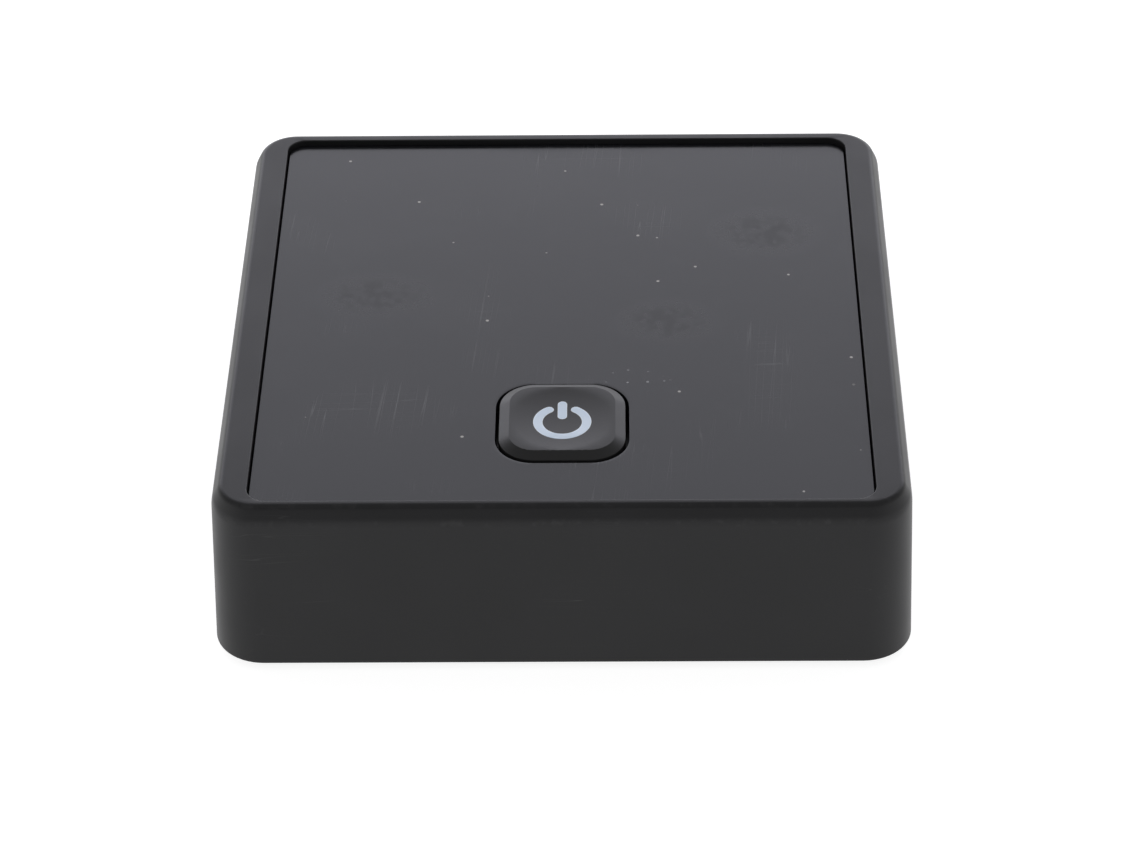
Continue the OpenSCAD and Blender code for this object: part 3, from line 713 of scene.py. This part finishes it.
def housing():
    """Shell of the case: walls, bevel, rim and panel recess, open at the bottom and round the button."""
    top_half = half_at(BEVEL_Z)
    flat_half = top_half - BEVEL_IN
    outer = fillet([(half_at(FOOT_Z) - WALL_T, FOOT_Z, 0), (HALF_W, FOOT_Z, 0.35), (top_half, BEVEL_Z, 3.0),
                    (flat_half, TOP_Z, 0.9), (flat_half - 1, TOP_Z, 0)])[:-1]
    inner = fillet([(1, TOP_Z, 0), (0, TOP_Z, 0.14), (0, SHELF_Z, 0)])[1:]
    rings = [case_ring(x, z) for x, z, _ in outer] + [recess_ring(x, z) for x, z, _ in inner]
    rings += [hole_ring(0, SHELF_Z), hole_ring(0, CEILING_Z)]
    rings += [case_ring(half_at(CEILING_Z) - WALL_T, CEILING_Z)]
    edges = [p[2] for p in outer + inner] + [0, 0, 0]
    made = mesh_object("housing", loft(rings, edges, hollow=True))
    combine(made, "DIFFERENCE", *socket_cutters())
    soften(made, 0.1, segments=2, limit=55)
    return finish_piece(made, housing_black(), "case", "housing_black", "top_housing")


def panel():
    """Glossy insert in the recess, with the opening for the button."""
    outer = fillet([(0.4, panel_low.z, 0), (0, panel_low.z, 0.1),
                    (0, panel_high.z, 0.08), (0.4, panel_high.z, 0)])
    inner = fillet([(0.5, panel_high.z, 0), (0, panel_high.z, 0.08), (0, panel_low.z, 0)])
    rings = [recess_ring(-PANEL_GAP - inset, z) for inset, z, _ in outer]
    rings += [hole_ring(out, z) for out, z, _ in inner]
    made = mesh_object("panel", loft(rings, [p[2] for p in outer + inner], hollow=True))
    soften(made)
    return finish_piece(made, panel_black(), "case", "panel_black", "top_panel")


# ---------------------------------------------------------------- button

def dish_z(x, y):
    """Height of the button's dished face at a point measured from its middle."""
    return TOP_Z - max(0.0, DISH_DEPTH - (x * x + y * y) / (2 * DISH_BALL_R))


def on_dish(ring):
    """A ring of points laid on the dished face."""
    return [Vector((p.x, p.y, min(p.z, dish_z(p.x, p.y - KEY_Y)))) for p in ring]


def button_cap():
    """Hollow cap with its flange, bevel, dished face and the post that works the switch."""
    steps = 10
    middle = (0, KEY_Y)
    hollow = KEY_HALF - KEY_WALL
    hollow_r = KEY_R - KEY_WALL
    post_r, post_edge = 1.5, 0.3
    post = ((post_r - post_edge, key_low.z), (post_r, key_low.z + post_edge), (post_r, KEY_UNDER_Z))
    rings = [outline(r, r, r, z, middle, steps) for r, z in post]
    rings += [outline(hollow, hollow, hollow_r, z, middle, steps) for z in (KEY_UNDER_Z, KEY_FLANGE_LOW)]
    edges = [0.0] * len(rings)
    face_inset = 0.6
    skirt = fillet([(KEY_FLANGE, KEY_FLANGE_LOW, 0), (KEY_FLANGE, KEY_FLANGE_TOP, 0.2),
                    (0, KEY_FLANGE_TOP, 0), (0, TOP_Z - KEY_BEVEL_H, 0.12),
                    (-KEY_BEVEL_IN, TOP_Z, 0.22), (-KEY_BEVEL_IN - face_inset, TOP_Z, 0)])
    rings += [on_dish(key_ring(out, z, steps)) for out, z, _ in skirt]
    edges += [p[2] for p in skirt]
    face_steps = 14
    face_half = DISH_HALF - face_inset
    face_r = KEY_R - KEY_BEVEL_IN
    for i in range(1, face_steps + 1):
        half = face_half * (1 - i / face_steps) + 0.02
        r = min(half, face_r * half / DISH_HALF)
        rings.append(on_dish(outline(half, half, r, TOP_Z, middle, steps)))
        edges.append(0.0)
    made = mesh_object("button_cap", loft(rings, edges))
    soften(made)
    return finish_piece(made, key_black(), "button", "key_black", "power_button")


def stroke(path, half_w, low_z, proud, edge_r):
    """A round-ended bar along a path of (point, across, along), slightly proud of the dished face."""
    cap_steps = 10
    bm = bmesh.new()
    wear_and_highlight = bm.verts.layers.float.new("edge")
    # The third value of each section point marks the rounded top edge, where the symbol's material paints a
    # highlight.
    section = [(0.0, None, 0.0), (0.0, proud - edge_r, 0.3), (edge_r * 0.3, proud - edge_r * 0.3, 1.0),
               (edge_r, proud, 1.0), (edge_r * 3, proud, 0.0), (half_w, proud, 0.0)]
    rows = []
    first, last = path[0], path[-1]
    walk = [(first, -math.pi / 2 * (1 - k / cap_steps)) for k in range(cap_steps)]
    walk += [(station, 0.0) for station in path]
    walk += [(last, math.pi / 2 * (k + 1) / cap_steps) for k in range(cap_steps)]
    for (point, across, along), turn in walk:
        row = []
        for side in (1, -1):
            points = section if side > 0 else list(reversed(section))[1:]
            for inset, height, edge in points:
                r = half_w - inset
                at = point + along * (r * math.sin(turn)) + across * (side * r * math.cos(turn))
                z = low_z if height is None else dish_z(at.x, at.y - KEY_Y) + height
                v = bm.verts.new(Vector((at.x, at.y, z)) * MM)
                v[wear_and_highlight] = edge
                row.append(v)
        rows.append(row)
    for a, b in zip(rows, rows[1:]):
        for i in range(len(a)):
            j = (i + 1) % len(a)
            bm.faces.new((a[i], a[j], b[j], b[i]))
    bmesh.ops.remove_doubles(bm, verts=bm.verts, dist=1e-8)
    bmesh.ops.holes_fill(bm, edges=bm.edges)
    bmesh.ops.dissolve_degenerate(bm, edges=bm.edges, dist=1e-8)
    bmesh.ops.recalc_face_normals(bm, faces=bm.faces)
    return bm


def symbol():
    """The open ring and bar of the power sign, as the light guide set in the button."""
    low, high = span("power_symbol")
    ring_r = high.x
    middle_r = ring_r - STROKE_W / 2
    centre = Vector((0, low.y + ring_r))
    steps = 80
    bar_steps = 8
    ring_path = []
    for k in range(steps + 1):
        a = RING_OPEN_HALF + (math.tau - 2 * RING_OPEN_HALF) * k / steps
        out = Vector((math.sin(a), math.cos(a)))
        along = Vector((math.cos(a), -math.sin(a)))
        ring_path.append((centre + out * middle_r, out, along))
    bar_path = []
    for k in range(bar_steps + 1):
        y = BAR_FROM + STROKE_W / 2 + (BAR_TO - BAR_FROM - STROKE_W) * k / bar_steps
        bar_path.append((centre + Vector((0, y)), Vector((1, 0)), Vector((0, 1))))
    proud, edge_r = 0.012, 0.03
    skins = [stroke(path, STROKE_W / 2, low.z, proud, edge_r) for path in (ring_path, bar_path)]
    made = mesh_object("button_symbol", *skins)
    soften(made)
    return finish_piece(made, symbol_plastic(), "button", "symbol_plastic", "power_symbol")


# ---------------------------------------------------------------- rear sockets

def phono_sleeve(node):
    """Nickel sleeve of a phono socket, with a rolled lip and a thinner neck inside the wall."""
    low, high = span("phono_sleeves")
    x = sum(c.x for c in span(node)) / 2
    z = (low.z + high.z) / 2
    outer, inner, neck = PHONO_R, 3.55, 3.95
    groove = 0.08
    length = high.y - low.y
    neck_l = CASE_Y + HALF_W - 0.15 - low.y
    profile = fillet([(inner, 0, 0), (neck, 0, 0), (neck, neck_l, 0), (outer, neck_l, 0.1),
                      (outer, length - 1.2, 0), (outer - groove, length - 1.05, 0),
                      (outer - groove, length - 0.95, 0), (outer, length - 0.8, 0), (outer, length, 0.28),
                      (inner, length, 0.2), (inner, length - 1, 0)])
    return lathe(profile, hollow=True, place=facing_back(x, low.y, z))


def phono_sleeves():
    """Both phono sleeves, each round its insulator."""
    made = mesh_object("phono_sleeve_pair", *[phono_sleeve(node) for node in PHONO_INSULATORS])
    soften(made)
    return finish_piece(made, nickel(), "case", "nickel", "phono_sleeves")


def phono_insulator(node, name, look, slot):
    """Coloured ring inside a phono sleeve, stepped at its face."""
    low, high = span(node)
    centre = (low + high) / 2
    outer, bore = 3.5, 2.1
    length = high.y - low.y
    profile = fillet([(bore, 0, 0), (outer, 0, 0),
                      (outer, length - 0.5, 0), (outer - 0.35, length - 0.5, 0.08),
                      (outer - 0.35, length, 0.15), (bore + 0.35, length, 0.1), (bore, length - 0.35, 0)])
    made = mesh_object(name, lathe(profile, hollow=True, place=facing_back(centre.x, low.y, centre.z)))
    soften(made)
    return finish_piece(made, look, "case", slot, node)


def phono_contacts():
    """Gold sockets for the plugs' centre pins, split at their mouths."""
    low, high = span("phono_centre_contacts")
    z = (low.z + high.z) / 2
    outer, bore = 2.05, 1.6
    length = high.y - low.y
    profile = fillet([(0.02, 0, 0), (outer, 0, 0), (outer, length, 0.2), (bore, length, 0.2), (bore, 2, 0),
                      (0.02, 2, 0)])
    skins = []
    cutters = []
    slot_half, slot_l = 0.17, 3.0
    for node in PHONO_INSULATORS:
        x = sum(c.x for c in span(node)) / 2
        place = facing_back(x, low.y, z)
        skins.append(lathe(profile, place=place, hollow=True))
        for half_x, half_y in ((slot_half, outer + 1), (outer + 1, slot_half)):
            rings = [outline(half_x, half_y, slot_half / 2, h) for h in (length - slot_l, length + 1)]
            cutters.append(mesh_object("cutter", loft(rings, place=place)))
    made = mesh_object("phono_contact_pair", *skins)
    combine(made, "DIFFERENCE", *cutters)
    soften(made)
    return finish_piece(made, contact_gold(), "case", "contact_gold", "phono_centre_contacts")


def headphone_ferrule():
    """Nickel ring round the headphone bore."""
    low, high = span("headphone_jack_ferrule")
    centre = (low + high) / 2
    outer, bore = FERRULE_R, 1.8
    length = high.y - low.y
    profile = fillet([(bore, 0, 0), (outer, 0, 0), (outer, length, 0.25), (bore + 0.55, length, 0.1),
                      (bore, length - 0.5, 0.15), (bore, length - 1.2, 0)])
    place = facing_back(centre.x, low.y, centre.z)
    made = mesh_object("headphone_ring", lathe(profile, hollow=True, place=place))
    soften(made)
    return finish_piece(made, nickel(), "case", "nickel", "headphone_jack_ferrule")


def power_pin():
    """Centre pin of the power socket, with a rounded tip."""
    low, high = span("power_jack_pin")
    centre = (low + high) / 2
    root_r = high.x - centre.x
    pin_r = root_r - 0.5
    length = high.y - low.y
    root_l = length - 9.2
    profile = fillet([(0.02, 0, 0), (root_r, 0, 0), (root_r, root_l, 0.1),
                      (pin_r, root_l, 0), (pin_r, length, 0.55), (0.02, length, 0)])
    made = mesh_object("power_pin", lathe(profile, place=facing_back(centre.x, low.y, centre.z)))
    soften(made)
    return finish_piece(made, nickel(), "case", "nickel", "power_jack_pin")


def shutter_flap():
    """Spring-loaded door of the optical socket: a framed flap on its hinge barrel."""
    low, high = span("optical_shutter")
    centre = (low + high) / 2
    barrel_r = 0.6
    hinge_z = high.z - barrel_r
    half_x = (high.x - low.x) / 2
    thickness = 0.7
    mid_z = (low.z + hinge_z) / 2
    half_z = (hinge_z - low.z) / 2
    front = thickness / 2
    layers = fillet([(0.3, -front, 0), (0, -front, 0.12), (0, front, 0.12), (0.7, front, 0.06),
                     (0.85, front - 0.18, 0.06), (1.6, front - 0.18, 0)])
    rings = [outline(half_x - inset, half_z - inset, 0.25, h) for inset, h, _ in layers]
    flap = loft(rings, place=facing_back(centre.x, centre.y, mid_z))
    along_x = up_at(low.x, centre.y, hinge_z) @ Matrix.Rotation(RIGHT_ANGLE, 4, "Y")
    width = high.x - low.x
    barrel = lathe(fillet([(0.35, 0, 0), (barrel_r, 0, 0.08), (barrel_r, width, 0.08), (0.35, width, 0)]),
                   hollow=True, place=along_x, steps=32)
    made = mesh_object("shutter_flap", flap, barrel)
    soften(made)
    return finish_piece(made, shutter_black(), "shutter", "shutter_black", "optical_shutter")


# ---------------------------------------------------------------- underside

def corners(distance):
    """The four points at plus and minus a distance from the middle of the case."""
    return [Vector((sx * distance, CASE_Y + sy * distance)) for sx in (-1, 1) for sy in (-1, 1)]


def feet():
    """Rubber pads, hollowed a little so that they stand on their rims."""
    low, high = span("rubber_feet")
    r = 4.5
    profile = fillet([(0.02, low.z + 0.25, 0), (2.6, low.z + 0.25, 0.6), (3.0, low.z, 0.2), (r, low.z, 0.35),
                      (r, high.z, 0), (0.02, high.z, 0)])
    skins = [lathe(profile, place=up_at(at.x, at.y, 0)) for at in corners(high.x - r)]
    made = mesh_object("foot_pads", *skins)
    soften(made)
    return finish_piece(made, foot_rubber(), "case", "foot_rubber", "rubber_feet")


def cross_cutters(place, reach, depth):
    """Tapered wings of a cross recess, sunk downwards from the top of a screw head."""
    wings = []
    for long_x in (True, False):
        rings = []
        for half_l, half_w, z in ((reach * 0.45, reach * 0.10, -depth), (reach, reach * 0.2, 0),
                                  (reach, reach * 0.2, 0.5)):
            half_x, half_y = (half_l, half_w) if long_x else (half_w, half_l)
            rings.append(outline(half_x, half_y, half_w * 0.6, z))
        wings.append(mesh_object("cutter", loft(rings, place=place)))
    return wings


def screw_set(name, places, shank_r, length, head_r, head_h, look, slot, node):
    """Cross-head screws, each placed point down with its head above the place's origin."""
    pitch = shank_r * 0.55
    turns = int((length - 1) / pitch)
    thread = [(0.02, -length), (shank_r * 0.35, -length + 0.3)]
    for i in range(turns):
        base = -length + 0.5 + i * pitch
        thread += [(shank_r * 0.8, base), (shank_r, base + pitch * 0.45), (shank_r, base + pitch * 0.55)]
    thread += [(shank_r * 0.8, -0.2)]
    head = fillet([(shank_r * 0.8, 0, 0), (head_r, 0, 0.15),
                   (head_r, head_h, head_h * 0.5), (0.02, head_h, 0)])
    made = mesh_object(name, *[lathe(thread + [(x, z) for x, z, _ in head], place=place, steps=48)
                               for place in places])
    cutters = []
    for place in places:
        cutters += cross_cutters(place @ up_at(0, 0, head_h), head_r * 0.6, head_h * 0.65)
    combine(made, "DIFFERENCE", *cutters)
    soften(made)
    return finish_piece(made, look, "case", slot, node)


def case_screws():
    """Four screws up through the base, heads down."""
    low, high = span("case_screws")
    head_r, head_h, length = 2.3, 1.5, 10
    head_top = low.z + head_h
    upside_down = Matrix.Rotation(math.pi, 4, "X")
    places = [up_at(at.x, at.y, head_top) @ upside_down for at in corners(high.x - head_r)]
    return screw_set("case_screw_set", places, 1.25, length, head_r, head_h, screw_steel(), "screw_steel",
                     "case_screws")


def board_screws():
    """Four screws that hold the main board."""
    low, high = span("board_screws")
    head_r, head_h, length = 1.9, 1.3, 5
    places = [up_at(x, y, high.z - head_h) for x in (low.x + head_r, high.x - head_r)
              for y in (low.y + head_r, high.y - head_r)]
    return screw_set("board_screw_set", places, 1.0, length, head_r, head_h, tinned_steel(), "tinned_steel",
                     "board_screws")


def label():
    """Blank label with rounded corners."""
    low, high = span("rating_label")
    half = (high - low) / 2
    centre = (high + low) / 2
    layers = fillet([(0.4, low.z, 0), (0, low.z, 0.04), (0, high.z, 0), (0.4, high.z, 0)])
    corner_r = 1.2
    rings = [outline(half.x - inset, half.y - inset, corner_r - inset, z, (centre.x, centre.y))
             for inset, z, _ in layers]
    made = mesh_object("blank_label", loft(rings))
    soften(made)
    return finish_piece(made, label_sheet(), "case", "label_sheet", "rating_label")


# ---------------------------------------------------------------- CAD nodes that stay, with their looks

def dress_cad_nodes():
    """Softens the edges of the CAD nodes that stay and gives each its material."""
    looks = {
        adhesive: ["panel_adhesive"],
        base_black: ["base_cover"],
        diffuser_plastic: ["light_diffuser"],
        board_green: ["main_board"],
        switch_black: ["switch_body"],
        tinned_steel: ["switch_cover", "switch_legs", "bluetooth_shield", "crystal_oscillator",
                       "headphone_contacts", "power_jack_contact", "shutter_pin"],
        spring_steel: ["switch_dome"],
        plunger_grey: ["switch_plunger"],
        led_body: ["status_leds"],
        radio_blue: ["bluetooth_board"],
        copper: ["antenna_trace"],
        chip_epoxy: ["audio_processor_chip", "audio_converter_chip", "flash_memory_chip",
                     "headphone_driver_chip", "voltage_regulator"],
        can_aluminium: ["capacitor_cans"],
        inductor_ferrite: ["power_inductors"],
        ceramic_tan: ["ceramic_capacitors"],
        resistor_black: ["chip_resistors"],
        jack_black: ["capacitor_bases", "phono_housing", "headphone_jack_body", "optical_jack_body",
                     "power_jack_body"],
        emitter_red: ["optical_emitter"],
    }
    fine = {"antenna_trace", "switch_dome", "shutter_pin", "panel_adhesive"}
    for make, nodes in looks.items():
        look = make()
        for node in nodes:
            made = soften_cad(node, 0.02 if node in fine else 0.1)
            made.data.materials.clear()
            made.data.materials.append(look)


# ---------------------------------------------------------------- floor, light and camera

def floor():
    """Pale backlit table, wide enough to fill every view."""
    made = mesh_object("floor", lathe([(0.02, -40), (3900, -40), (4000, 0), (0.02, 0)]))
    look = coated("floor_white", (0.42, 0.42, 0.42), 0.6, (0.405, 0.405, 0.405), size=60, specular=0.1)
    look.shader.inputs["Emission Color"].default_value = (1, 1, 1, 1)
    look.shader.inputs["Emission Strength"].default_value = 0.86
    made.data.materials.append(look.material)


def soft_light(name, radiance, size, aim, distance, azimuth, elevation, colour):
    """A rectangular light that faces the object, in metres. Azimuth 0 is behind it and 180 in front."""
    data = bpy.data.lights.new(name, "AREA")
    data.shape = "RECTANGLE"
    data.size, data.size_y = size
    data.energy = radiance * math.pi * size[0] * size[1]
    data.color = colour
    made = bpy.data.objects.new(name, data)
    bpy.context.scene.collection.objects.link(made)
    a, e = math.radians(azimuth), math.radians(elevation)
    away = Vector((math.sin(a) * math.cos(e), math.cos(a) * math.cos(e), math.sin(e)))
    made.location = Vector(aim) * MM + away * distance
    made.rotation_mode = "QUATERNION"
    made.rotation_quaternion = away.to_track_quat("Z", "Y")
    made.visible_camera = False


def world_light():
    """Pale surroundings, brighter round the horizon than overhead, and dimmer in front of the object."""
    world = bpy.data.worlds.new("surroundings")
    bpy.context.scene.world = world
    world.use_nodes = True
    tree = world.node_tree
    background = tree.nodes["Background"]
    background.inputs["Color"].default_value = (1, 1, 1, 1)
    coords = tree.nodes.new("ShaderNodeTexCoord")
    parts = tree.nodes.new("ShaderNodeSeparateXYZ")
    tree.links.new(coords.outputs["Generated"], parts.inputs[0])
    product = tree.nodes.new("ShaderNodeMath")
    product.operation = "MULTIPLY"
    for i, (axis, low, high, at_low, at_high) in enumerate((("Z", -0.05, 0.6, 1.35, 0.5),
                                                            ("Y", -0.95, -0.45, 0.6, 1.0))):
        ramp = tree.nodes.new("ShaderNodeMapRange")
        ramp.interpolation_type = "SMOOTHSTEP"
        ramp.inputs["From Min"].default_value = low
        ramp.inputs["From Max"].default_value = high
        ramp.inputs["To Min"].default_value = at_low
        ramp.inputs["To Max"].default_value = at_high
        tree.links.new(parts.outputs[axis], ramp.inputs["Value"])
        tree.links.new(ramp.outputs["Result"], product.inputs[i])
    tree.links.new(product.outputs[0], background.inputs["Strength"])


def lights():
    """Two cool softboxes behind the object, the lower one brighter, and the pale surroundings."""
    aim = (0, CASE_Y, TOP_Z)
    distance = 1.5
    width = 2.2
    behind = 0
    cool = (0.955, 0.955, 1.075)
    soft_light("rear_softbox_low", 1.95, (width, 0.61), aim, distance, behind, 19.5, cool)
    soft_light("rear_softbox_high", 1.3, (width, 0.395), aim, distance, behind, 38.5, cool)
    world_light()


def camera():
    """Long lens, looking down over the front edge at the photograph's angle."""
    aim = Vector((0.71, CASE_Y - 10.15, 12.5)) * MM
    distance = 484.5 * MM
    pitch, yaw, roll = math.radians(36.704), math.radians(-0.928), math.radians(-0.820)
    forward = Vector((math.sin(yaw) * math.cos(pitch), math.cos(yaw) * math.cos(pitch), -math.sin(pitch)))
    level = Vector((math.cos(yaw), -math.sin(yaw), 0))
    upright = level.cross(forward)
    right = level * math.cos(roll) + upright * math.sin(roll)
    up = upright * math.cos(roll) - level * math.sin(roll)
    data = bpy.data.cameras.new("camera")
    data.sensor_width = 36
    data.lens = 121.29
    data.clip_start, data.clip_end = 0.01, 20
    made = bpy.data.objects.new("camera", data)
    bpy.context.scene.collection.objects.link(made)
    turn = Matrix((right, up, -forward)).transposed()
    made.matrix_world = Matrix.Translation(aim - forward * distance) @ turn.to_4x4()
    bpy.context.scene.camera = made


# ---------------------------------------------------------------- everything together

camera()
housing()
panel()
button_cap()
symbol()
phono_sleeves()
phono_insulator("phono_insulator_left", "phono_ring_white", insulator_white(), "insulator_white")
phono_insulator("phono_insulator_right", "phono_ring_red", insulator_red(), "insulator_red")
phono_contacts()
headphone_ferrule()
power_pin()
shutter_flap()
feet()
case_screws()
board_screws()
label()
dress_cad_nodes()
floor()
lights()
bpy.context.scene.view_settings.view_transform = "Standard"
